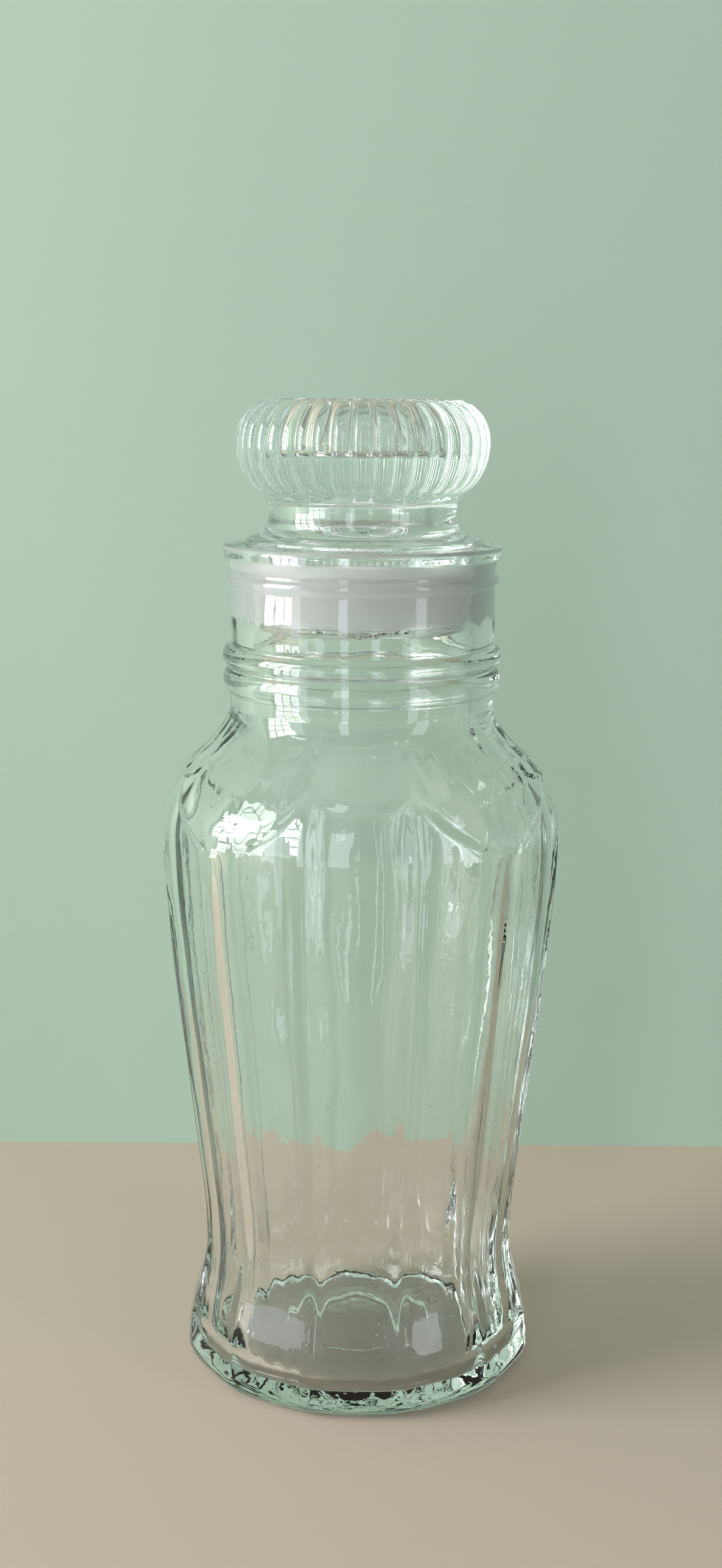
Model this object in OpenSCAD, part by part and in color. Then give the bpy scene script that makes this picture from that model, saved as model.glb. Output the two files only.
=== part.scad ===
// Lidded glass sweet jar.
// A moulded jar with twelve flat panels, a faceted shoulder and a round neck,
// closed by a glass lid whose tapered plug stands in the neck.
// Millimetres, +Z up, origin at the middle of the base where the jar stands.

/* [Jar body] */
// Height of the jar from the table to the top of its lip
jar_h = 309; // [290:1:380]
// Distance from the axis to a panel at the foot
foot_r = 65; // [60:0.5:80]
// Height of the widest level of the foot
foot_z = 7; // [4:0.5:10]
// Distance from the axis to a panel at the waist
waist_r = 57; // [52:0.5:64]
// Height of the waist
waist_z = 51; // [40:1:70]
// Distance from the axis to a panel at the shoulder
shoulder_r = 73; // [68:0.5:90]
// Height of the widest level of the shoulder
shoulder_z = 205; // [160:1:208]
// Thickness of the body wall at the middle of a panel
wall = 5; // [3:0.25:6]
// Thickness of the glass under the inside floor
floor_t = 8; // [6:0.5:16]
// Radius of the rounding between the inside floor and the wall
heel_in = 20; // [10:1:30]

/* [Underside] */
// Radius of the shallow hollow under the base
pushup_r = 30; // [15:1:45]
// Depth of the hollow under the base
pushup_h = 3; // [1:0.25:4]
// Width of the rounding between the foot and the standing face
heel = 6; // [3:0.5:8]

/* [Neck and lip] */
// Radius of the neck outside
neck_r = 48; // [46:0.25:58]
// Thickness of the neck wall at the bottom of the plug
neck_wall = 8.8; // [6:0.2:12]
// Height of the neck below the lip, down to the shoulder
neck_h = 57; // [48:1:80]
// Height over which the wall thickens from the shoulder to the neck
thicken_h = 30; // [15:1:36]
// How far the lip stands out from the neck
lip_out = 2.3; // [1:0.1:4]
// Height of the flared lip
lip_h = 8; // [5:0.5:10]
// How far the thin bead under the lip stands out
bead_out = 1.4; // [0.6:0.1:2]
// How far the two rings at the foot of the neck stand out
ring_out = 2.4; // [1:0.1:3]

/* [Lid] */
// Length of the tapered plug below the lip
plug_h = 30; // [20:1:34]
// How much the plug's radius grows from its bottom to its top
plug_taper = 1.7; // [0.5:0.1:3]
// Gap between the plug and the bore of the neck
plug_gap = 0.3; // [0.2:0.05:0.8]
// Thickness of the plug's wall
plug_wall = 5; // [3:0.25:7]
// How far the flange overlaps the lip
flange_lap = 1.4; // [1:0.1:3]
// Thickness of the flange's edge
flange_t = 2; // [1.5:0.25:4]
// Radius of the stem between the flange and the knob
stem_r = 33.7; // [28:0.5:36]
// Radius of the knob over its ribs
knob_r = 45.7; // [42:0.1:56]
// Height of the ribbed band of the knob
knob_h = 32; // [24:1:40]
// Height of the whole lid above the lip
lid_h = 51; // [46:1:60]
// Depth of the dish in the top of the knob
dish_d = 18; // [8:1:20]
// Radius of the dish
dish_r = 29; // [18:0.5:30]
// Radius of the hollow inside the stem
hollow_r = 23; // [14:0.5:24]
// Glass between the dish and the hollow below it
crown_t = 8; // [5:0.5:12]
// How deep the grooves between the ribs are
rib_d = 1.5; // [0.6:0.1:2]
// Number of ribs round the knob
ribs = 40; // [24:1:48]

/* [Hidden] */
glass = [0.78, 0.90, 0.86, 0.45];
lid_glass = [0.86, 0.94, 0.92, 0.45];

panels = 12;
panel_a = 360 / panels;
jar_sides = panels * 6;
lid_sides = ribs * 3;
join = 0.3;
turn_fn = 96;

neck_z = jar_h - neck_h;
bore_low_r = neck_r - neck_wall;
plug_low_r = bore_low_r - plug_gap;
bore_top_r = bore_low_r + plug_taper;
plug_top_r = plug_low_r + plug_taper;
flange_r = bore_top_r + flange_lap;
plug_z = jar_h - plug_h;

// ---------- the outline of the body ----------

// Share of the way from 0 to 1 with a soft start and a soft end of length e
function ramp(u, e) = u <= 0 ? 0 : u >= 1 ? 1
    : u < e ? u * u / (2 * e * (1 - e))
    : u <= 1 - e ? (u - e / 2) / (1 - e)
    : 1 - (1 - u) * (1 - u) / (2 * e * (1 - e));

// Half a cosine wave from 1 down to 0 as u goes from 0 to 1
function fall(u) = (1 + cos(180 * min(1, max(0, u)))) / 2;

// Distance from the axis to the middle of a narrow panel at height z
function panel_r(z) =
    z < foot_z ? foot_r - heel * (1 - sqrt(max(0, 1 - pow(1 - z / foot_z, 2))))
    : z < waist_z ? waist_r + (foot_r - waist_r) * fall((z - foot_z) / (waist_z - foot_z))
    : z < shoulder_z ? waist_r + (shoulder_r - waist_r)
        * ramp((z - waist_z) / (shoulder_z - waist_z), 0.13)
    : neck_r + (shoulder_r - neck_r)
        * fall(pow(min(1, (z - shoulder_z) / (neck_z - shoulder_z)), 1.27));

// Distance from the axis to the wide slanting facets at the corners of the shoulder
function facet_r(z) = let (corner_r = shoulder_r / cos(panel_a / 2),
                           rise = 0.8 * (neck_z - shoulder_z))
    corner_r - (corner_r - neck_r) * (z - shoulder_z) / rise;

// Smaller of two lengths, with the edge between them rounded by k
function soft_min(a, b, k) = min(a, b) - pow(max(0, k - abs(a - b)), 2) / (4 * k);

// Angle from the nearest of n evenly spaced directions
function off_axis(a, n) = let (step = 360 / n, m = a - step * floor(a / step)) min(m, step - m);

// Radius of the outside at angle a and height z, with its edges rounded by k
function skin_r(a, z, k) = let (
        flat = panel_r(z) / cos(off_axis(a, panels)),
        corner = facet_r(z) / cos(off_axis(a + 45, 4)))
    z < shoulder_z - wall ? flat : max(neck_r, soft_min(flat, corner, k));

// Radius of the inside: the outside less the wall, with softer edges
function inner_r(a, z) = let (
        depth = (z - (neck_z - thicken_h)) / thicken_h,
        thick = wall + (neck_wall - wall) * max(0, depth),
        soft = panel_r(z) * (0.5 + 0.5 / cos(off_axis(a, panels))),
        corner = facet_r(z) / cos(off_axis(a + 45, 4)))
    max(bore_low_r, (z < shoulder_z - wall ? soft : soft_min(soft, corner, 3)) - thick);

// ---------- one closed skin from a stack of rings ----------

// rings is a list of closed loops with the same number of points, from the
// middle of the underside, over the outside, to the middle of the inside
module stacked_skin(rings, bottom, top) {
    n = len(rings[0]);
    last = len(rings) - 1;
    points = concat([for (ring = rings) each ring], [bottom, top]);
    sides = [for (i = [0 : last - 1], j = [0 : n - 1])
        let (a = i * n + j, b = i * n + (j + 1) % n, c = b + n, d = a + n)
        each [[a, d, c], [a, c, b]]];
    low = [for (j = [0 : n - 1]) [len(points) - 2, j, (j + 1) % n]];
    high = [for (j = [0 : n - 1]) [last * n + (j + 1) % n, last * n + j, len(points) - 1]];
    polyhedron(points = points, faces = concat(sides, low, high), convexity = 8);
}

// A round ring of n points at radius r and height z
function round_ring(r, z, n) = [for (j = [0 : n - 1]) let (a = 360 * j / n) [r * cos(a), r * sin(a), z]];

// ---------- jar ----------

function body_ring(z) = [for (j = [0 : jar_sides - 1])
    let (a = 360 * j / jar_sides, r = skin_r(a, z, 2)) [r * cos(a), r * sin(a), z]];

function inside_ring(z, inset) = [for (j = [0 : jar_sides - 1])
    let (a = 360 * j / jar_sides, r = inner_r(a, z) - inset) [r * cos(a), r * sin(a), z]];

// Heights between two levels, n steps, without the last
function levels(from, to, n) = [for (i = [0 : n - 1]) from + (to - from) * i / n];

module body_shell() {
    outside = concat(levels(0, foot_z, 3), levels(foot_z, waist_z, 6),
        levels(waist_z, shoulder_z - wall, 7), levels(shoulder_z - wall, neck_z - 0.1, 13));
    inside = concat(levels(neck_z - 0.1, shoulder_z - wall, 9),
        levels(shoulder_z - wall, waist_z, 5), levels(waist_z, floor_t + heel_in, 3));
    heel_turns = [for (i = [0 : 5]) 90 * i / 5];
    rings = concat(
        [round_ring(pushup_r * 0.6, pushup_h * 0.9, jar_sides), round_ring(pushup_r, 0, jar_sides)],
        [for (z = outside) body_ring(z)],
        [round_ring(neck_r - join, neck_z, jar_sides)],
        [round_ring(bore_low_r + join, neck_z, jar_sides)],
        [for (z = inside) inside_ring(z, 0)],
        [for (t = heel_turns) inside_ring(floor_t + heel_in * (1 - sin(t)), heel_in * (1 - cos(t)))]);
    stacked_skin(rings, [0, 0, pushup_h], [0, 0, floor_t]);
}

// Half section of the neck wall, with its lip, bead and two rings
module neck_section() {
    bead_z = jar_h - lip_h - 4.5;
    ring_1_z = neck_z + 17;
    ring_2_z = neck_z + 8.3;
    polygon([
        [bore_low_r, neck_z], [neck_r, neck_z], [neck_r, jar_h - lip_h],
        [neck_r + lip_out, jar_h - 2.2], [neck_r + lip_out - 0.6, jar_h - 0.4],
        [neck_r + lip_out - 1.6, jar_h], [bore_top_r + 0.4, jar_h],
        [bore_top_r, jar_h - 0.4], [bore_low_r, plug_z]]);
    translate([neck_r + bead_out - 1.8, bead_z])
        circle(r = 1.8, $fn = turn_fn);
    for (z = [ring_1_z, ring_2_z])
        translate([neck_r + ring_out - 4, z])
            circle(r = 4, $fn = turn_fn);
}

module jar() {
    color(glass)
        union() {
            body_shell();
            rotate_extrude($fn = turn_fn)
                neck_section();
        }
}

// ---------- lid ----------

knob_mid_z = jar_h + lid_h - 15;
knob_low_z = jar_h + lid_h - knob_h;
dish_z = jar_h + lid_h - dish_d;
hollow_z = dish_z - crown_t;

// Outside of the lid as [radius, height, share of the rib depth], from the
// underside of the flange up to the floor of the dish
lid_top_z = jar_h + lid_h;
lid_outline = concat(
    [[flange_r - 0.3, jar_h, 0], [flange_r, jar_h + 0.6, 0], [flange_r, jar_h + flange_t - 0.6, 0]],
    // cove from the flange up to the stem
    [for (t = [0 : 30 : 90]) [stem_r + (flange_r - 1 - stem_r) * (1 - sin(t)),
        jar_h + flange_t + 8 * (1 - cos(t)), 0]],
    [[stem_r, knob_low_z - 5, 0], [stem_r + 2, knob_low_z - 2.5, 0], [stem_r + 4, knob_low_z, 0]],
    // ribbed band, two quarter turns of an oval
    [for (t = [-75 : 15 : 75]) let (high = t > 0)
        [knob_r - 12 * (1 - cos(t)),
            knob_mid_z + (high ? lid_top_z - 1 - knob_mid_z : knob_mid_z - knob_low_z) * sin(t), 1]],
    [[knob_r - 13, lid_top_z, 0], [dish_r + 1.5, lid_top_z, 0], [dish_r + 0.4, lid_top_z - 1, 0],
        [dish_r - 1, dish_z + 1.5, 0], [dish_r - 2.5, dish_z, 0]]);

// Inside of the lid from the underside of the flange up to the hollow's roof
plug_in_low_r = plug_low_r - plug_wall;
lid_inside = [[hollow_r + 7 - join, jar_h], [hollow_r + 2, jar_h + flange_t + 3],
    [hollow_r, jar_h + flange_t + 8], [hollow_r, hollow_z - 4], [hollow_r - 2, hollow_z - 1],
    [hollow_r - 6, hollow_z]];

function rib_wave(j) = j % 3 == 0 ? 1 : 0;

function lid_ring(p) = [for (j = [0 : lid_sides - 1])
    let (a = 360 * j / lid_sides, r = p[0] - p[2] * rib_d * rib_wave(j))
    [r * cos(a), r * sin(a), p[1]]];

module lid_head() {
    // runs from the roof of the hollow, down the inside, round the flange and
    // up the outside to the dish
    rings = concat(
        [for (i = [len(lid_inside) - 1 : -1 : 0])
            round_ring(lid_inside[i][0], lid_inside[i][1], lid_sides)],
        [for (p = lid_outline) lid_ring(p)]);
    stacked_skin(rings, [0, 0, hollow_z], [0, 0, dish_z]);
}

// Half section of the tapered plug's wall
module plug_section() {
    polygon([
        [hollow_r + 7, jar_h], [plug_top_r, jar_h], [plug_low_r + 0.05, plug_z + 1],
        [plug_low_r - 0.8, plug_z], [plug_in_low_r + 0.8, plug_z], [plug_in_low_r, plug_z + 1.2]]);
}

module lid() {
    color(lid_glass)
        union() {
            lid_head();
            rotate_extrude($fn = turn_fn)
                plug_section();
        }
}

jar();
lid();
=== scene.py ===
# %% [markdown]
# # A lidded glass sweet jar
# The object is two pieces of clear, faintly aqua glass: a tall moulded jar with twelve flat
# panels, and a stopper with a ribbed knob. Glass has no colour of its own to hide behind, so
# everything that is seen is shape: the wall has to be a real wall, with an outside, an inside
# and a true thickness, or the light will not bend the way it does in a jar.

import bpy
import numpy as np
from mathutils import Matrix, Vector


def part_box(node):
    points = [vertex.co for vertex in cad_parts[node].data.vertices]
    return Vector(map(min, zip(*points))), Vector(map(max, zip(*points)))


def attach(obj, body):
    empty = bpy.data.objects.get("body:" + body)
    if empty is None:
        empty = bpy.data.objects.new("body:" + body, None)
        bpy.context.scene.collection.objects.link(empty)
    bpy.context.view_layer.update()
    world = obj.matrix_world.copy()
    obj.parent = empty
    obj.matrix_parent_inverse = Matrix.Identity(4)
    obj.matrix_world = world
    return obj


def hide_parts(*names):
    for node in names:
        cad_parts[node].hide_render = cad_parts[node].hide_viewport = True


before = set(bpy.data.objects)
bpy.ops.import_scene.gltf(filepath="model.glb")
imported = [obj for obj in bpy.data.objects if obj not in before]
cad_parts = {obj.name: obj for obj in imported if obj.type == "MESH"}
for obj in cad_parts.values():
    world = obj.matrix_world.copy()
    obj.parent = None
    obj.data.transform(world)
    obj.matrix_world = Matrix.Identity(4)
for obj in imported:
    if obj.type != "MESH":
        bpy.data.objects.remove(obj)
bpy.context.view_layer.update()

# %% Read the driving sizes from the frame
MM = 0.001
jar_low, jar_high = (np.array(corner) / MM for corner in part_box("jar"))
lid_low, lid_high = (np.array(corner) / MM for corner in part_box("lid"))
lip_z = jar_high[2]
widest_r = jar_high[0]
top_z = lid_high[2]
plug_z = lid_low[2]
knob_r = lid_high[0]
print(f"lip at {lip_z:.1f} mm, widest radius {widest_r:.1f}")
print(f"top at {top_z:.1f} mm, knob radius {knob_r:.1f}")

# %% [markdown]
# ## The camera
# The jar is seen from a little above the knob's height, close enough that the mouth and the
# foot both show as ovals. A lens near 49 mm on a frame whose long side is 36 mm gives that
# view. The camera leans by a fraction of a degree, as a hand-held one does.

# %% Place the camera
CAMERA_BACK = 0.770
CAMERA_HEIGHT = 0.371
CAMERA_DOWN = np.radians(11.06)
CAMERA_LEAN = np.radians(0.35)
camera_data = bpy.data.cameras.new("camera")
camera_data.lens = 48.9
camera_data.sensor_width = 36.0
camera = bpy.data.objects.new("camera", camera_data)
camera.matrix_world = (
    Matrix.Translation((0.0, -CAMERA_BACK, CAMERA_HEIGHT))
    @ Matrix.Rotation(np.pi / 2 - CAMERA_DOWN, 4, "X")
    @ Matrix.Rotation(CAMERA_LEAN, 4, "Z"))
bpy.context.scene.collection.objects.link(camera)
bpy.context.scene.camera = camera
print("camera", CAMERA_BACK, "m away and", CAMERA_HEIGHT, "m up")

# %% [markdown]
# ## From a grid of points to a closed skin
# Both pieces are skins turned round one axis: a row of points goes once round, and the rows
# follow each other from the middle of the underside, over the outside, to the middle of the
# inside. One function joins any such stack of rows with quads and shuts both ends with a fan,
# so neither piece has a hole or a seam.


# %% Join rows of points into a closed mesh
def skin_piece(name, rows_mm, first_pole, last_pole, body):
    """A closed piece from rows_mm, an array (rows, columns, 3) in millimetres.

    Quad (i, j) joins row i to row i + 1 and column j to column j + 1, counted round. Two more
    vertices, one at each pole, close the first row and the last row with triangles.
    """
    n_rows, n_cols, _ = rows_mm.shape
    points = np.concatenate([rows_mm.reshape(-1, 3), [first_pole, last_pole]]) * MM
    row, col = np.meshgrid(np.arange(n_rows - 1), np.arange(n_cols), indexing="ij")
    right = (col + 1) % n_cols
    quads = np.stack([row * n_cols + col, row * n_cols + right,
                      (row + 1) * n_cols + right, (row + 1) * n_cols + col], axis=-1)
    around = np.arange(n_cols)
    after = (around + 1) % n_cols
    first = len(points) - 2
    last = len(points) - 1
    top = (n_rows - 1) * n_cols
    start_fan = np.stack([np.full(n_cols, first), after, around], axis=-1)
    end_fan = np.stack([np.full(n_cols, last), top + around, top + after], axis=-1)
    corners = np.concatenate([quads.reshape(-1), start_fan.reshape(-1), end_fan.reshape(-1)])
    sizes = np.concatenate([np.full(quads.size // 4, 4), np.full(2 * n_cols, 3)])

    mesh = bpy.data.meshes.new(name)
    mesh.vertices.add(len(points))
    mesh.vertices.foreach_set("co", points.astype(np.float32).ravel())
    mesh.loops.add(len(corners))
    mesh.loops.foreach_set("vertex_index", corners.astype(np.int32))
    mesh.polygons.add(len(sizes))
    mesh.polygons.foreach_set("loop_start", (np.cumsum(sizes) - sizes).astype(np.int32))
    mesh.polygons.foreach_set("use_smooth", np.ones(len(sizes), dtype=bool))
    mesh.update(calc_edges=True)
    mesh.validate()
    piece = bpy.data.objects.new(name, mesh)
    bpy.context.scene.collection.objects.link(piece)
    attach(piece, body)
    print(f"{name}: {len(points)} points, {2 * quads.size // 4 + 2 * n_cols} triangles")
    return piece


# %% Small curve helpers
def smooth_step(x):
    """0 below 0, 1 above 1, and 3x^2 - 2x^3 between, which starts and ends level."""
    x = np.clip(x, 0.0, 1.0)
    return x * x * (3 - 2 * x)


def fall(u):
    """Half a cosine wave: 1 at u = 0, 0 at u = 1."""
    return (1 + np.cos(np.pi * np.clip(u, 0.0, 1.0))) / 2


def ramp(u, ease):
    """A straight climb from 0 to 1 with a short parabola of length ease at each end."""
    u = np.clip(u, 0.0, 1.0)
    middle = (u - ease / 2) / (1 - ease)
    start = u * u / (2 * ease * (1 - ease))
    end = 1 - (1 - u) ** 2 / (2 * ease * (1 - ease))
    return np.where(u < ease, start, np.where(u > 1 - ease, end, middle))


def arc(centre, radii, start, stop, count):
    """Points centre + (radii_r cos t, radii_z sin t) for t from start to stop, in degrees."""
    t = np.radians(np.linspace(start, stop, count))
    return np.stack([centre[0] + radii[0] * np.cos(t), centre[1] + radii[1] * np.sin(t)], axis=-1)


def line(start, stop, count):
    """Points evenly spaced from start up to, but without, stop."""
    t = np.arange(count)[:, None] / count
    return np.array(start) * (1 - t) + np.array(stop) * t


# %% [markdown]
# ## The unevenness of old glass
# A moulded jar is never true: the outside is smooth because it met the iron, while the inside
# was shaped by air and rolls gently. A sum of a few long waves round and up the wall, with
# fixed phases, gives that roll, and it is what makes the streaks in the light wander.


# %% A gentle roll of the surface
def roll(angle, height_mm, size_mm, seed):
    """A sum of six waves, sin(k * angle + m * height + phase), whose mean square is one.

    k is a whole number so that the wave meets itself round the jar, and m grows with 1 / size.
    """
    draw = np.random.default_rng(seed)
    total = 0.0
    for _ in range(6):
        k = draw.integers(1, 1 + int(2 * np.pi * 65 / size_mm))
        m = draw.uniform(-1.0, 1.0) * 2 * np.pi / (2.2 * size_mm)
        total = total + np.sin(k * angle + m * height_mm + draw.uniform(0, 2 * np.pi))
    return total / np.sqrt(3.0)


# %% [markdown]
# ## The outline of the jar
# Seen from the side, the jar flares out of a waist into its foot, widens in a nearly straight
# line up to the shoulder, and curves in to the neck. Each stretch is a short formula, with the
# same sizes as the solid model has.

# %% The side outline as a formula
FOOT_R, FOOT_Z, HEEL = 65.0, 8.0, 6.5
WAIST_R, WAIST_Z = 57.0, 51.0
SHOULDER_Z = 205.0
NECK_R, NECK_Z = 48.0, lip_z - 57.0
SHOULDER_R = widest_r


def apothem(z):
    """Distance from the axis to the middle of a panel at height z.

    A quarter circle at the heel, half a cosine wave from foot to waist, a softened straight
    line from waist to shoulder, and a slightly squeezed half cosine wave from shoulder to neck.
    """
    heel = FOOT_R - HEEL * (1 - np.sqrt(np.clip(1 - (1 - z / FOOT_Z) ** 2, 0, 1)))
    flare = WAIST_R + (FOOT_R - WAIST_R) * fall((z - FOOT_Z) / (WAIST_Z - FOOT_Z))
    body = WAIST_R + (SHOULDER_R - WAIST_R) * ramp((z - WAIST_Z) / (SHOULDER_Z - WAIST_Z), 0.13)
    climb = np.clip((z - SHOULDER_Z) / (NECK_Z - SHOULDER_Z), 0, 1)
    shoulder = NECK_R + (SHOULDER_R - NECK_R) * fall(climb ** 1.27)
    return np.select([z < FOOT_Z, z < WAIST_Z, z < SHOULDER_Z], [heel, flare, body], shoulder)


# %% [markdown]
# ## Twelve panels with soft edges
# A true twelve-sided shape has sharp corners, and glass has none. The radius of a polygon is
# the nearest of its twelve planes. Taking a high power mean of the planes instead of the
# nearest one rounds each corner a little and leaves the flats flat.

# %% The cross-section
PANELS = 12
panel_angles = np.radians(np.arange(PANELS) * 360 / PANELS)


def panel_shape(angle, sharpness):
    """Radius of a soft polygon whose flats are at distance 1.

    1 over the power mean of cos(angle - panel angle), taken over the planes in front.
    """
    facing = np.clip(np.cos(angle[..., None] - panel_angles), 0.02, 1)
    power = np.broadcast_to(sharpness, angle.shape)[..., None]
    return 1 / np.sum(facing ** power, axis=-1) ** (1 / power[..., 0])


def from_flat(angle):
    """Angle in degrees from the nearest of the front, back and side panels, 0 to 45."""
    return np.abs(np.mod(np.degrees(angle) + 45, 90) - 45)


def from_ridge(angle):
    """Angle in degrees from the nearest edge between two panels, 0 to 15."""
    turned = np.mod(np.degrees(angle), 360 / PANELS)
    return np.abs(turned - 180 / PANELS)


# %% [markdown]
# ## The petals of the shoulder
# Above the panels the shoulder swells into petals that stand a little proud: a narrow one over
# the front, the back and each side, and a wide one over each corner. The edge under a narrow
# petal sags between two points, and under a wide one it hangs 22 mm lower. Only the height of
# that edge changes with the angle, so the whole shoulder is one blend between two surfaces,
# panel below the edge and petal above it.

# %% The outside of the jar below the neck
LOW_EDGE_Z, HIGH_EDGE_Z = 206.0, 228.0
STEP_HEIGHT = 3.2
PETAL_PROUD = 1.1
RIDGE_HEIGHT = 0.45
SEAM_HEIGHT = 0.3
SKIN_MARGIN = 0.35
EDGE_SAG = 4.0
SEAM_ANGLES = np.radians([-37.0, 143.0])


def petal_edge(angle):
    """Height of the petals' lower edge, from d, the angle from the nearest narrow petal.

    Up to 15 degrees it sags by 4 mm as a parabola in d, and past that it falls to the low
    level as (1 - share of the way to 45 degrees) to the power 1.7.
    """
    d = from_flat(angle)
    narrow = HIGH_EDGE_Z - EDGE_SAG * (1 - (d / 15) ** 2)
    wide = LOW_EDGE_Z + (HIGH_EDGE_Z - LOW_EDGE_Z) * np.clip(1 - (d - 15) / 30, 0, 1) ** 1.7
    return np.where(d < 15, narrow, wide)


def seam(angle):
    """A thin raised line where the two halves of the mould met, 1 on the line."""
    apart = np.abs(np.angle(np.exp(1j * (angle[..., None] - SEAM_ANGLES)))).min(axis=-1)
    return np.exp(-(apart * 70 / 0.75) ** 2)


def ridge_bead(angle):
    """A low swelling along each edge between two panels, 1 on the edge."""
    return np.exp(-(from_ridge(angle) / 2.2) ** 2)


def outside(angle, z):
    """Radius of the outside of the jar, panels up to the petals' edge and petals above it."""
    edge = petal_edge(angle)
    proud = PETAL_PROUD * smooth_step((z - 150) / 50)
    facets = 0.5 + 0.5 * smooth_step(z / 55)
    panel_r = (apothem(z) - proud) * (1 + facets * (panel_shape(angle, 120.0) - 1))
    panel_r = panel_r + RIDGE_HEIGHT * ridge_bead(angle) * smooth_step(z / 30)
    above = np.clip((z - edge) / (NECK_Z - edge), 0, 1)
    swell = PETAL_PROUD * np.exp(-((above - 0.12) / 0.16) ** 2) * smooth_step((z - SHOULDER_Z) / 14)
    cusp = ridge_bead(angle) * (from_flat(angle) < 22) * (1 - above)
    petal_r = apothem(z) * (1 + 0.30 * (1 - above) * (panel_shape(angle, 60.0) - 1))
    petal_r = petal_r + swell - 0.6 * cusp
    is_petal = smooth_step((z - edge) / STEP_HEIGHT + 0.5)
    radius = panel_r * (1 - is_petal) + petal_r * is_petal
    waves = 0.06 * roll(angle, z, 34, 5) + 0.03 * roll(angle, z, 11, 6)
    return radius + waves * smooth_step(z / 12) + SEAM_HEIGHT * seam(angle) - SKIN_MARGIN


# %% [markdown]
# ## The inside of the jar
# Inside, the panels are only a memory: the wall is thickest behind each ridge. It is about
# 5 mm in the body and 9 mm in the neck, and a quarter oval joins it to a thin floor, so that
# the foot can be seen through. Long faint streaks run up the wall, where the glass was drawn.

# %% The inside of the jar
BODY_WALL, NECK_WALL = 5.2, 8.8
FLOOR_Z, ROUND_HIGH, ROUND_WIDE = 5.5, 20.0, 11.0
PANEL_SHARE = 0.35


def inside(angle, z):
    """Radius of the inside: the outline less the wall, with a share of the panels' shape."""
    thick = BODY_WALL + (NECK_WALL - BODY_WALL) * smooth_step((z - NECK_Z + 30) / 30)
    thick = thick + 1.4 * fall(np.abs(z - 226) / 22) + 1.2 * fall(z / 70)
    straight = np.maximum(z, 0.35 * WAIST_Z + 0.65 * z)
    share = PANEL_SHARE * (1 - smooth_step((z - 190) / 45))
    soft = 1 + share * (panel_shape(angle, 40.0) - 1)
    fade = 1 - smooth_step((z - NECK_Z + 12) / 12)
    waves = 0.14 * roll(angle, z, 34, 11) + 0.05 * roll(angle, z, 14, 12)
    streaks = 0.035 * roll(3 * angle, z / 6, 24, 13)
    return apothem(straight) * soft - thick + (waves + streaks) * fade


# %% [markdown]
# ## The neck and the lip
# The neck is round. Two rings stand at its foot, a thin bead lies under the lip, and the lip
# flares out to a rounded edge. The bore is ground to a slight taper to take the plug.

# %% Outline of the neck, outside and inside
BORE_LOW_R, BORE_TOP_R = 39.2, 41.0
LIP_R = 50.3
GAP = 0.3


def half_round(z, middle, half_height, stands_out):
    """A bump of half an oval: stands_out * sqrt(1 - ((z - middle) / half_height)^2)."""
    return stands_out * np.sqrt(np.clip(1 - ((z - middle) / half_height) ** 2, 0, 1))


def neck_outside(z):
    """Radius of the neck: a cylinder with two rings and a thin bead."""
    ring_2 = half_round(z, lip_z - 48.8, 4.3, 2.4)
    ring_1 = half_round(z, lip_z - 40.2, 3.5, 2.7)
    bead = half_round(z, lip_z - 12.4, 2.1, 1.4)
    swell = 0.35 * fall(np.abs(z - lip_z + 26) / 12)
    return NECK_R + swell + np.maximum.reduce([ring_2, ring_1, bead])


neck_heights = np.linspace(NECK_Z + 0.4, lip_z - 8.6, 92)
neck_curve = np.stack([neck_outside(neck_heights), neck_heights], axis=-1)
lip_curve = np.concatenate([
    line((NECK_R + 0.1, lip_z - 8.2), (LIP_R, lip_z - 2.6), 7),
    arc((LIP_R - 1.3, lip_z - 1.9), (1.4, 1.7), -15, 90, 8),
    line((LIP_R - 2.0, lip_z - 0.1), (BORE_TOP_R + 1.0, lip_z - 0.1), 5),
    arc((BORE_TOP_R + 0.9, lip_z - 1.0), (0.9, 0.9), 90, 180, 6)])
bore_curve = line((BORE_TOP_R, lip_z - 1.4), (BORE_LOW_R, plug_z), 20)
throat_curve = line((BORE_LOW_R, plug_z), (BORE_LOW_R, NECK_Z), 8)
print("neck outline has", len(neck_curve) + len(lip_curve), "points outside")

# %% Stack the rows of the jar
COLUMNS = 312
turn = np.linspace(0, 2 * np.pi, COLUMNS, endpoint=False) - np.pi / 2


def shaped_rows(radius_of, heights):
    """Rows whose radius is radius_of(angle, height), a full turn for each height."""
    angle, z = np.meshgrid(turn, heights)
    radius = radius_of(angle, z)
    return np.stack([radius * np.cos(angle), radius * np.sin(angle), z], axis=-1)


def round_rows(curve, wave=0.0):
    """Rows that are circles, one for each (radius, height) of curve, with a faint roll."""
    angle, z = np.meshgrid(turn, curve[:, 1])
    radius = curve[:, 0][:, None] + wave * roll(angle, z, 26, 21) - 0.5 * wave
    return np.stack([radius * np.cos(angle), radius * np.sin(angle), z], axis=-1)


# %% [markdown]
# ## The underside and the inside floor
# The jar stands on a flat ring. Inside that ring the base is pushed up a little, with a round
# mark where the glass was held. The inside floor is nearly flat, with a faint ring in it.

# %% Rows of the underside and of the inside floor
STAND_IN_R, PUSH_UP = 44.0, 2.6
MARK_R = 24.0


def underside_rows():
    """From near the middle out to the standing ring: a shallow dome with a round groove."""
    radius = np.concatenate([np.linspace(1.5, 20, 7), np.linspace(21, 27.5, 10),
                             np.linspace(31, STAND_IN_R, 6)])
    dome = PUSH_UP * fall(radius / STAND_IN_R) + 0.5 * fall(np.abs(radius - MARK_R) / 3.0)
    return round_rows(np.stack([radius, dome], axis=-1))


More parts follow.
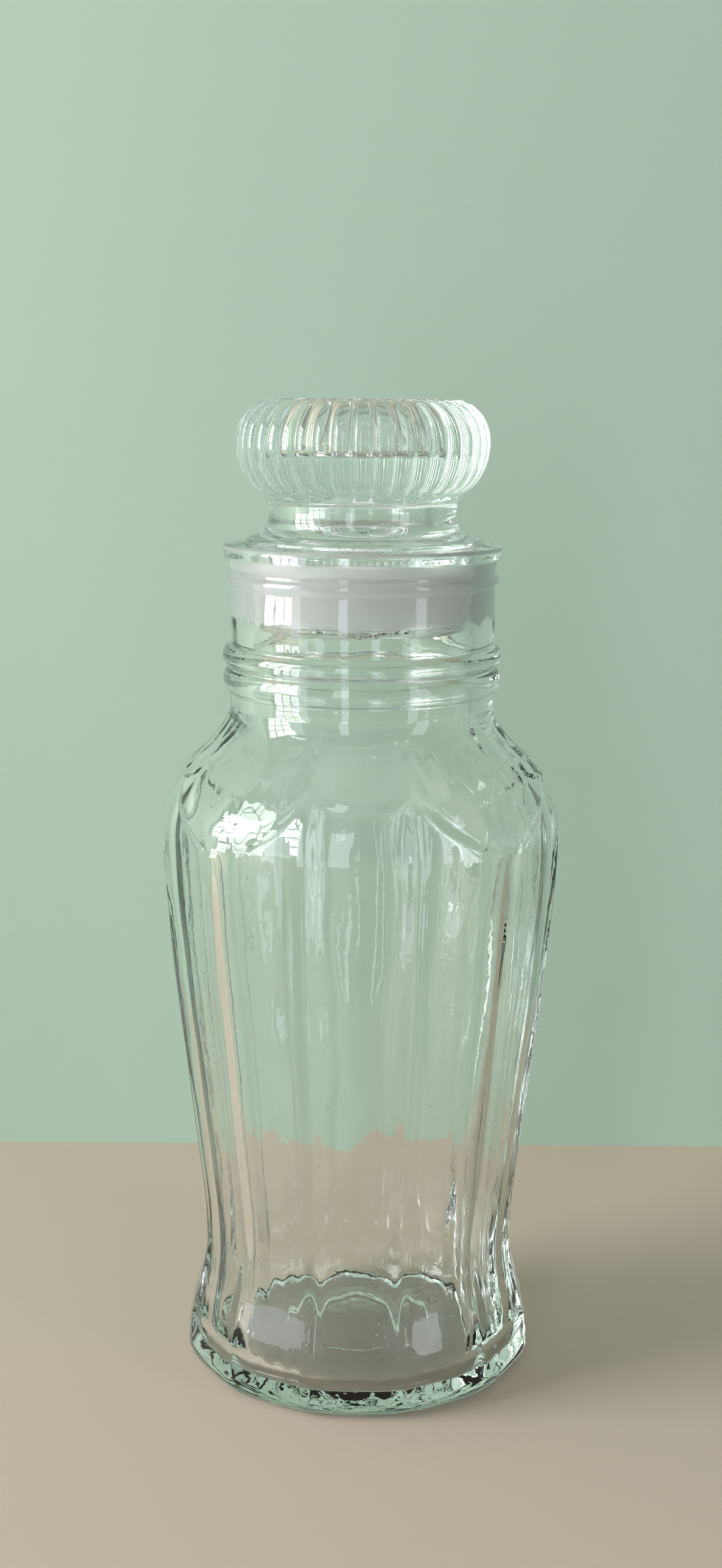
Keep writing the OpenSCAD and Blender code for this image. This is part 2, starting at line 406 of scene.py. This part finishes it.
def floor_rows():
    """A quarter of an oval drawn in from the wall, then a nearly flat floor with a ring."""
    t = np.radians(np.linspace(0, 90, 18))
    z = FLOOR_Z + ROUND_HIGH * (1 - np.sin(t))
    draw_in = ROUND_WIDE * (1 - np.cos(t))
    angle, height = np.meshgrid(turn, z)
    radius = inside(angle, height) - draw_in[:, None]
    heel = np.stack([radius * np.cos(angle), radius * np.sin(angle), height], axis=-1)
    angle, scale = np.meshgrid(turn, np.linspace(0.96, 0.06, 18))
    floor_r = radius[-1] * scale
    waves = 0.15 * roll(angle, 40 * scale, 22, 31) * scale
    ring = 0.18 * fall(np.abs(floor_r - MARK_R) / 4.0)
    height = FLOOR_Z + (waves + ring)
    floor = np.stack([floor_r * np.cos(angle), floor_r * np.sin(angle), height], axis=-1)
    return np.concatenate([heel, floor])


# %% Make the jar
outer_heights = np.concatenate([
    [0.0, 0.3, 0.9, 1.8, 3.0, 4.5, 6.2], np.arange(8, 52, 3.1), np.arange(52, 190, 5.5),
    np.arange(190, NECK_Z, 1.35)])
inner_heights = np.concatenate([
    np.arange(NECK_Z - 1, 190, -3.0), np.arange(190, 52, -6.0),
    np.arange(52, FLOOR_Z + ROUND_HIGH + 1, -3.0)])
jar_rows = np.concatenate([
    underside_rows(), shaped_rows(outside, outer_heights), round_rows(neck_curve, 0.05),
    round_rows(lip_curve, 0.04), round_rows(bore_curve), round_rows(throat_curve),
    shaped_rows(inside, inner_heights), floor_rows()])
jar_piece = skin_piece("jar_glass_body", jar_rows, (0, 0, PUSH_UP), (0, 0, FLOOR_Z),
                       "jar")
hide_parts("jar")

# %% [markdown]
# ## The outline of the lid
# The stopper is one piece of pressed glass: a hollow plug, a flange that rests on the lip, a
# cove up to the stem, and a knob like a thick cushion with a dish sunk in its top. The outline
# runs from the roof of the hollow, round the plug's mouth and up the outside to the dish.

# %% Outline of the lid
PLUG_LOW_R, PLUG_TOP_R, PLUG_IN_R = BORE_LOW_R - GAP, BORE_TOP_R - GAP, 33.9
HOLLOW_R, HOLLOW_Z = 23.0, top_z - 28.0
FLANGE_R, STEM_R = 42.3, 33.7
KNOB_MID_Z = top_z - 15.0
KNOB_IN_R = 32.5
DISH_R, DISH_Z = 29.0, top_z - 18.5

hollow_curve = np.concatenate([
    line((2.0, HOLLOW_Z), (HOLLOW_R - 6, HOLLOW_Z), 6),
    arc((HOLLOW_R - 6, HOLLOW_Z - 6), (6, 6), 90, 0, 9),
    line((HOLLOW_R, HOLLOW_Z - 7), (HOLLOW_R, lip_z + 8), 4),
    arc((HOLLOW_R + 7, lip_z + 7), (7, 8), 180, 250, 7),
    line((PLUG_IN_R - 5.4, lip_z - 2.2), (PLUG_IN_R, lip_z - 8), 5),
    line((PLUG_IN_R, lip_z - 8.5), (PLUG_IN_R, plug_z + 2.6), 7)])
plug_mouth = arc((PLUG_IN_R + 2.5, plug_z + 2.5), (2.5, 2.5), 180, 360, 13)
plug_curve = line((PLUG_LOW_R, plug_z + 2.0), (PLUG_TOP_R, lip_z - 0.6), 18)
flange_curve = np.concatenate([
    line((PLUG_TOP_R + 0.1, lip_z + 0.1), (FLANGE_R - 0.6, lip_z + 0.1), 3),
    arc((FLANGE_R - 0.6, lip_z + 0.7), (0.6, 0.6), -90, 0, 5),
    arc((FLANGE_R - 0.7, lip_z + 1.4), (0.7, 0.7), 0, 90, 5)])
cove_t = np.radians(np.linspace(0, 90, 12))
cove_curve = np.stack([FLANGE_R - 1.0 - (FLANGE_R - 1.0 - STEM_R) * np.sin(cove_t),
                       lip_z + 2.2 + 8.2 * (1 - np.cos(cove_t))], axis=-1)
stem_curve = np.concatenate([
    line((STEM_R, lip_z + 11), (STEM_R + 0.1, lip_z + 14), 3),
    arc((STEM_R + 2.4, lip_z + 14.2), (2.2, 2.2), 180, 90, 6)])
knob_low_curve = arc((KNOB_IN_R, KNOB_MID_Z), (knob_r - KNOB_IN_R, 18.4), -72, 0, 24)
knob_high_curve = arc((KNOB_IN_R, KNOB_MID_Z), (knob_r - KNOB_IN_R, top_z - KNOB_MID_Z), 4, 90, 22)
dish_curve = np.concatenate([
    arc((KNOB_IN_R, top_z - 1.8), (KNOB_IN_R - DISH_R - 0.3, 1.8), 98, 180, 6),
    line((DISH_R + 0.2, top_z - 2.4), (DISH_R - 0.6, DISH_Z + 3.6), 7),
    arc((DISH_R - 4.0, DISH_Z + 3.4), (3.4, 3.4), 0, -90, 8),
    line((DISH_R - 5, DISH_Z), (2.0, DISH_Z + 0.5), 7)])
lid_parts = [hollow_curve, plug_mouth, plug_curve, flange_curve, cove_curve, stem_curve,
             knob_low_curve, knob_high_curve, dish_curve]
lid_curve = np.concatenate(lid_parts)
print("lid outline has", len(lid_curve), "points")

# %% [markdown]
# ## The ribs of the knob
# Forty rounded ribs wrap the knob from the edge of the dish to the underside. Each rib is a
# low rounded bar with a narrow groove beside it, and it dies away at both ends. The grooves are
# pushed in square to the outline, so that they keep their depth as the knob turns under.

# %% Cut the ribs into the knob
RIBS = 40
RIB_DEPTH = 2.3
LID_COLUMNS = RIBS * 12
lid_turn = np.linspace(0, 2 * np.pi, LID_COLUMNS, endpoint=False)


def groove(angle):
    """0 on the crown of a rib and most in the groove, 1 - sqrt(1 - 0.97 * closeness^2.4).

    closeness is 1 in the middle of the groove and 0 on the crowns beside it.
    """
    across = np.abs(np.mod(angle * RIBS / (2 * np.pi), 1.0) - 0.5) * 2
    return 1 - np.sqrt(np.clip(1 - 0.97 * (1 - across) ** 2.4, 0, 1))


def rib_reach():
    """Share of the full groove depth at each outline point: none but on the knob's outside.

    A last trace of the grooves runs over the rim into the dish.
    """
    before = sum(len(part) for part in lid_parts[:6])
    low = smooth_step(np.linspace(0, 5, len(knob_low_curve)))
    high = smooth_step(np.linspace(7.0, 0.35, len(knob_high_curve)))
    after = 0.3 * smooth_step(np.linspace(1, -4, len(dish_curve)))
    return np.concatenate([np.zeros(before), low, high, after])


step = np.gradient(lid_curve, axis=0)
outward = np.stack([step[:, 1], -step[:, 0]], axis=-1)
outward /= np.linalg.norm(outward, axis=-1, keepdims=True)
cut = RIB_DEPTH * rib_reach()[:, None] * groove(lid_turn)[None, :]
lid_r = lid_curve[:, 0][:, None] - outward[:, 0][:, None] * cut
lid_z = lid_curve[:, 1][:, None] - outward[:, 1][:, None] * cut
lid_rows = np.stack([lid_r * np.cos(lid_turn), lid_r * np.sin(lid_turn), lid_z], axis=-1)
lid_piece = skin_piece("lid_glass_stopper", lid_rows, (0, 0, HOLLOW_Z), (0, 0, DISH_Z + 0.5),
                       "lid")
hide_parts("lid")

# %% [markdown]
# ## The ground seat
# Where plug and bore meet, both are ground with grit, which leaves a milky band. The band is
# an attribute on the points, 1 where the glass is ground, and the material turns it into
# roughness and a little white. It fades over a millimetre, as hand grinding does.


# %% Mark the ground glass
def mark_ground(piece, rows_mm, ground_rows, low_z, high_z):
    """Writes the attribute ground: 1 between low_z and high_z on the rows in ground_rows."""
    z = rows_mm[..., 2]
    angle = np.arctan2(rows_mm[..., 1], rows_mm[..., 0])
    wander = 0.5 * roll(angle, z, 20, 41)
    band = smooth_step((z - low_z - wander) / 1.0) * smooth_step((high_z - z) / 1.5)
    chosen = np.zeros(rows_mm.shape[0])
    chosen[ground_rows] = 1.0
    values = np.append((band * chosen[:, None]).ravel(), [0.0, 0.0])
    attribute = piece.data.attributes.new("ground", "FLOAT", "POINT")
    attribute.data.foreach_set("value", values.astype(np.float32))
    print(piece.name, "ground points:", int((values > 0.5).sum()))


bore_start = sum(len(a) for a in (underside_rows(), outer_heights, neck_curve, lip_curve))
plug_start = len(hollow_curve) + len(plug_mouth)
bore_rows = slice(bore_start, bore_start + len(bore_curve))
plug_rows = slice(plug_start, plug_start + len(plug_curve))
ground_low_z, ground_high_z = plug_z + 3, lip_z - 3
mark_ground(jar_piece, jar_rows, bore_rows, ground_low_z, ground_high_z)
mark_ground(lid_piece, lid_rows, plug_rows, ground_low_z, ground_high_z)

# %% [markdown]
# ## Seeds
# Glass makers call small bubbles seeds. Some lie low over the floor of the jar and some in the
# wall. Each is a tiny closed ball of a few dozen faces, stretched a little upwards in the wall,
# where the glass was drawn while it was soft.


# %% Scatter the seeds
BALL_ROUND, BALL_RINGS = 8, 5
BALL_POINTS = BALL_ROUND * BALL_RINGS + 2


def seed_ball():
    """A ball of 8 by 5 points from longitude and latitude, with its two poles."""
    lon, lat = np.meshgrid(np.linspace(0, 2 * np.pi, BALL_ROUND, endpoint=False),
                           np.radians(np.linspace(-60, 60, BALL_RINGS)))
    ring = np.stack([np.cos(lat) * np.cos(lon), np.cos(lat) * np.sin(lon), np.sin(lat)], axis=-1)
    return np.concatenate([ring.reshape(-1, 3), [[0, 0, -1], [0, 0, 1]]])


def seed_faces():
    """Quads between the five rings and a fan of triangles at each pole, all facing out."""
    n = BALL_ROUND
    quads = [[r * n + c, r * n + (c + 1) % n, (r + 1) * n + (c + 1) % n, (r + 1) * n + c]
             for r in range(BALL_RINGS - 1) for c in range(n)]
    south, north = BALL_POINTS - 2, BALL_POINTS - 1
    last_ring = (BALL_RINGS - 1) * n
    low = [[south, (c + 1) % n, c] for c in range(n)]
    high = [[north, last_ring + c, last_ring + (c + 1) % n] for c in range(n)]
    return quads + low + high


def repeated_faces(count):
    """The faces of count balls whose points follow each other."""
    return [[i + BALL_POINTS * b for i in face] for b in range(count) for face in seed_faces()]


draw = np.random.default_rng(77)
BASE_SEEDS, WALL_SEEDS = 70, 46
base_r = 44 * np.sqrt(draw.uniform(0.02, 1, BASE_SEEDS))
base_a = draw.uniform(0, 2 * np.pi, BASE_SEEDS)
base_centre = np.stack([base_r * np.cos(base_a), base_r * np.sin(base_a),
                        draw.uniform(6.0, 12.5, BASE_SEEDS)], axis=-1)
wall_z = draw.uniform(60, 235, WALL_SEEDS)
wall_a = draw.uniform(0, 2 * np.pi, WALL_SEEDS)
wall_r = apothem(wall_z) - 2.7
wall_centre = np.stack([wall_r * np.cos(wall_a), wall_r * np.sin(wall_a), wall_z], axis=-1)
centres = np.concatenate([base_centre, wall_centre])
base_sizes = draw.uniform(0.18, 0.55, BASE_SEEDS)
wall_sizes = draw.uniform(0.12, 0.3, WALL_SEEDS)
sizes = np.concatenate([base_sizes, wall_sizes])
stretch = np.concatenate([np.full(BASE_SEEDS, 0.8), draw.uniform(1.2, 2.4, WALL_SEEDS)])
scale = np.stack([sizes, sizes, sizes * stretch], axis=-1)
balls = seed_ball()[None] * scale[:, None, :] + centres[:, None, :]
all_faces = repeated_faces(len(balls))
seed_mesh = bpy.data.meshes.new("seeds")
seed_mesh.from_pydata((balls.reshape(-1, 3) * MM).tolist(), [], all_faces)
seed_mesh.polygons.foreach_set("use_smooth", np.ones(len(all_faces), dtype=bool))
seeds = bpy.data.objects.new("seeds", seed_mesh)
bpy.context.scene.collection.objects.link(seeds)
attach(seeds, "jar")
print("seeds:", len(balls))

# %% [markdown]
# ## Grime at the foot of the plug
# Where the grinding stops, an old stopper collects a broken dark line of grime that no cloth
# reaches. A few dozen flat flakes of uneven size, set along the front of the plug's lower
# edge, are enough; they reuse the little ball of the seeds, squashed against the glass.

# %% Set the flakes
FLAKES = 46
flake_a = np.radians(-90) + draw.normal(0.05, 0.20, FLAKES)
flake_z = plug_z + 1.9 + 0.8 * np.sin(9 * flake_a) + draw.normal(0, 0.3, FLAKES)
flake_centre = np.stack([PLUG_LOW_R * np.cos(flake_a), PLUG_LOW_R * np.sin(flake_a), flake_z],
                        axis=-1)
flake_size = np.stack([draw.uniform(0.12, 0.5, FLAKES), np.full(FLAKES, 0.10),
                       draw.uniform(0.08, 0.25, FLAKES)], axis=-1)
flat = seed_ball()[None] * flake_size[:, None, :]
cos_a, sin_a = np.cos(flake_a + np.pi / 2)[:, None], np.sin(flake_a + np.pi / 2)[:, None]
turned_flakes = np.stack([flat[..., 0] * cos_a - flat[..., 1] * sin_a,
                          flat[..., 0] * sin_a + flat[..., 1] * cos_a, flat[..., 2]], axis=-1)
flake_points = (turned_flakes + flake_centre[:, None, :]).reshape(-1, 3) * MM
flake_mesh = bpy.data.meshes.new("plug_grime")
flake_mesh.from_pydata(flake_points.tolist(), [], repeated_faces(FLAKES))
grime = bpy.data.objects.new("plug_grime", flake_mesh)
bpy.context.scene.collection.objects.link(grime)
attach(grime, "lid")
print("flakes:", FLAKES)

# %% [markdown]
# ## Glass
# The surface bends light by its index and the volume takes a little red out of it, so thin
# walls look clear while the foot and the edges, where the path is long, turn aqua. The ground
# band is the same glass with a rough skin that lets less light through.


# %% Glass materials
def glass(name, tint, depth_tint, density):
    """Clear glass whose skin is rough and milky where the attribute ground is 1."""
    material = bpy.data.materials.new(name)
    material.use_nodes = True
    nodes, links = material.node_tree.nodes, material.node_tree.links
    shader = nodes["Principled BSDF"]
    shader.inputs["Base Color"].default_value = (*tint, 1)
    shader.inputs["IOR"].default_value = 1.51

    ground = nodes.new("ShaderNodeAttribute")
    ground.attribute_name = "ground"
    rough = nodes.new("ShaderNodeMapRange")
    rough.inputs["To Min"].default_value = 0.012
    rough.inputs["To Max"].default_value = 0.42
    links.new(ground.outputs["Fac"], rough.inputs["Value"])
    links.new(rough.outputs["Result"], shader.inputs["Roughness"])
    milky = nodes.new("ShaderNodeMapRange")
    milky.inputs["To Min"].default_value = 1.0
    milky.inputs["To Max"].default_value = 0.68
    links.new(ground.outputs["Fac"], milky.inputs["Value"])
    links.new(milky.outputs["Result"], shader.inputs["Transmission Weight"])

    where = nodes.new("ShaderNodeTexCoord")
    skin = nodes.new("ShaderNodeTexNoise")
    skin.inputs["Scale"].default_value = 90.0
    skin.inputs["Detail"].default_value = 3.0
    bump = nodes.new("ShaderNodeBump")
    bump.inputs["Strength"].default_value = 0.10
    bump.inputs["Distance"].default_value = 0.001
    links.new(where.outputs["Object"], skin.inputs["Vector"])
    links.new(skin.outputs["Fac"], bump.inputs["Height"])
    links.new(bump.outputs["Normal"], shader.inputs["Normal"])

    depth = nodes.new("ShaderNodeVolumeAbsorption")
    depth.inputs["Color"].default_value = (*depth_tint, 1)
    depth.inputs["Density"].default_value = density
    links.new(depth.outputs["Volume"], nodes["Material Output"].inputs["Volume"])
    print("material", name)
    return material


def bubble_skin():
    """The wall of a seed: clear and bright."""
    material = bpy.data.materials.new("seed_skin")
    material.use_nodes = True
    shader = material.node_tree.nodes["Principled BSDF"]
    shader.inputs["Transmission Weight"].default_value = 1.0
    shader.inputs["Roughness"].default_value = 0.02
    shader.inputs["IOR"].default_value = 1.33
    return material


def grime_finish():
    """Dry brown grime, patchy between two browns."""
    material = bpy.data.materials.new("dry_grime")
    material.use_nodes = True
    nodes, links = material.node_tree.nodes, material.node_tree.links
    shader = nodes["Principled BSDF"]
    shader.inputs["Roughness"].default_value = 0.85
    where = nodes.new("ShaderNodeTexCoord")
    patches = nodes.new("ShaderNodeTexNoise")
    patches.inputs["Scale"].default_value = 900.0
    colours = nodes.new("ShaderNodeValToRGB")
    colours.color_ramp.elements[0].color = (0.05, 0.035, 0.025, 1)
    colours.color_ramp.elements[1].color = (0.22, 0.15, 0.09, 1)
    links.new(where.outputs["Object"], patches.inputs["Vector"])
    links.new(patches.outputs["Fac"], colours.inputs["Fac"])
    links.new(colours.outputs["Color"], shader.inputs["Base Color"])
    return material


grime.data.materials.append(grime_finish())
SKIN_TINT = (0.99, 0.998, 0.994)
JAR_DEPTH_TINT = (0.66, 0.90, 0.79)
LID_DEPTH_TINT = (0.72, 0.92, 0.84)
jar_piece.data.materials.append(glass("jar_clear_glass", SKIN_TINT, JAR_DEPTH_TINT, 3.2))
lid_piece.data.materials.append(glass("lid_clear_glass", SKIN_TINT, LID_DEPTH_TINT, 3.5))
seeds.data.materials.append(bubble_skin())

# %% [markdown]
# ## The setting
# Clear glass shows what stands behind it, so the setting matters: a pale floor, a plain pale
# sage backdrop close behind the jar, and the line where the two meet, which bends where it
# passes behind the walls. The backdrop is one-sided: looked at from behind it lets the view
# through, so the back of the jar can be inspected too.


# %% Floor and backdrop
def plain_surface(name, corners, colour):
    """A flat four-cornered stage piece of one matt colour."""
    mesh = bpy.data.meshes.new(name)
    mesh.from_pydata(corners, [], [(0, 1, 2, 3)])
    surface = bpy.data.objects.new(name, mesh)
    material = bpy.data.materials.new(name)
    material.use_nodes = True
    shader = material.node_tree.nodes["Principled BSDF"]
    shader.inputs["Base Color"].default_value = (*colour, 1)
    shader.inputs["Roughness"].default_value = 0.75
    mesh.materials.append(material)
    bpy.context.scene.collection.objects.link(surface)
    return surface


def one_sided(surface):
    """Let camera rays pass through the back of a stage piece."""
    tree = surface.active_material.node_tree
    facing = tree.nodes.new("ShaderNodeNewGeometry")
    path = tree.nodes.new("ShaderNodeLightPath")
    both = tree.nodes.new("ShaderNodeMath")
    both.operation = "MULTIPLY"
    clear = tree.nodes.new("ShaderNodeBsdfTransparent")
    mix = tree.nodes.new("ShaderNodeMixShader")
    tree.links.new(facing.outputs["Backfacing"], both.inputs[0])
    tree.links.new(path.outputs["Is Camera Ray"], both.inputs[1])
    tree.links.new(both.outputs["Value"], mix.inputs[0])
    tree.links.new(tree.nodes["Principled BSDF"].outputs["BSDF"], mix.inputs[1])
    tree.links.new(clear.outputs["BSDF"], mix.inputs[2])
    tree.links.new(mix.outputs["Shader"], tree.nodes["Material Output"].inputs["Surface"])


WALL_Y = 0.215
FLOOR_DROP = -0.0003
plain_surface("floor", [(-3, -3, FLOOR_DROP), (3, -3, FLOOR_DROP), (3, 3, FLOOR_DROP),
                        (-3, 3, FLOOR_DROP)], (0.52, 0.43, 0.34))
backdrop = plain_surface("backdrop", [(-3, WALL_Y, FLOOR_DROP), (3, WALL_Y, FLOOR_DROP),
                                      (3, WALL_Y, 3), (-3, WALL_Y, 3)], (0.40, 0.54, 0.43))
one_sided(backdrop)


# %% Lights
def lamp(name, place, aim, size, power, colour=(1, 1, 1)):
    """A soft square lamp at place that faces aim."""
    data = bpy.data.lights.new(name, "AREA")
    data.shape = "RECTANGLE"
    data.size, data.size_y = size
    data.energy = power
    data.color = colour
    lamp_object = bpy.data.objects.new(name, data)
    towards = np.array(aim) - np.array(place)
    towards = towards / np.linalg.norm(towards)
    side = np.cross(towards, (0, 0, 1))
    side = side / np.linalg.norm(side)
    up = np.cross(side, towards)
    turned = np.eye(4)
    turned[:3, 0], turned[:3, 1], turned[:3, 2], turned[:3, 3] = side, up, -towards, place
    lamp_object.matrix_world = Matrix(turned.tolist())
    bpy.context.scene.collection.objects.link(lamp_object)
    return lamp_object


def window(place, aim, pane, bar, rows, columns, power):
    """A window made of panes: lamps on a grid, with dark bars left between them."""
    towards = np.array(aim) - np.array(place)
    towards = towards / np.linalg.norm(towards)
    side = np.cross(towards, (0, 0, 1))
    side = side / np.linalg.norm(side)
    up = np.cross(side, towards)
    for i in range(rows):
        for j in range(columns):
            across = (j - (columns - 1) / 2) * (pane[0] + bar)
            rise = (i - (rows - 1) / 2) * (pane[1] + bar)
            centre = np.array(place) + side * across + up * rise
            lamp(f"pane_{i}_{j}", centre, centre + towards, pane, power / (rows * columns))


BETWEEN_PANES = 0.05
window((-2.05, -0.52, 0.80), (0, 0, 0.2), (0.34, 0.36), BETWEEN_PANES, 4, 3, 62)
tall_lamps = [("tall_left", -58, 0.30), ("tall_front", -16, 0.22), ("tall_right", 52, 0.28)]
TALL_AWAY, TALL_MIDDLE, TALL_HIGH = 1.5, 0.62, 1.2
for tall_name, turn_from_camera, width in tall_lamps:
    bearing = np.radians(turn_from_camera)
    place = (TALL_AWAY * np.sin(bearing), -TALL_AWAY * np.cos(bearing), TALL_MIDDLE)
    lamp(tall_name, place, (0, 0, TALL_MIDDLE), (width, TALL_HIGH), 3.6, (0.86, 0.88, 1.0))
lamp("ceiling", (0.0, -0.3, 2.6), (0, 0, 0), (3.6, 2.6), 16)

world = bpy.data.worlds.new("room")
world.use_nodes = True
world.node_tree.nodes["Background"].inputs["Color"].default_value = (0.74, 0.82, 0.78, 1)
world.node_tree.nodes["Background"].inputs["Strength"].default_value = 0.30
bpy.context.scene.world = world
bpy.context.scene.view_settings.view_transform = "Standard"
bpy.context.scene.cycles.max_bounces = 16
bpy.context.scene.cycles.transmission_bounces = 16
bpy.context.scene.cycles.glossy_bounces = 10
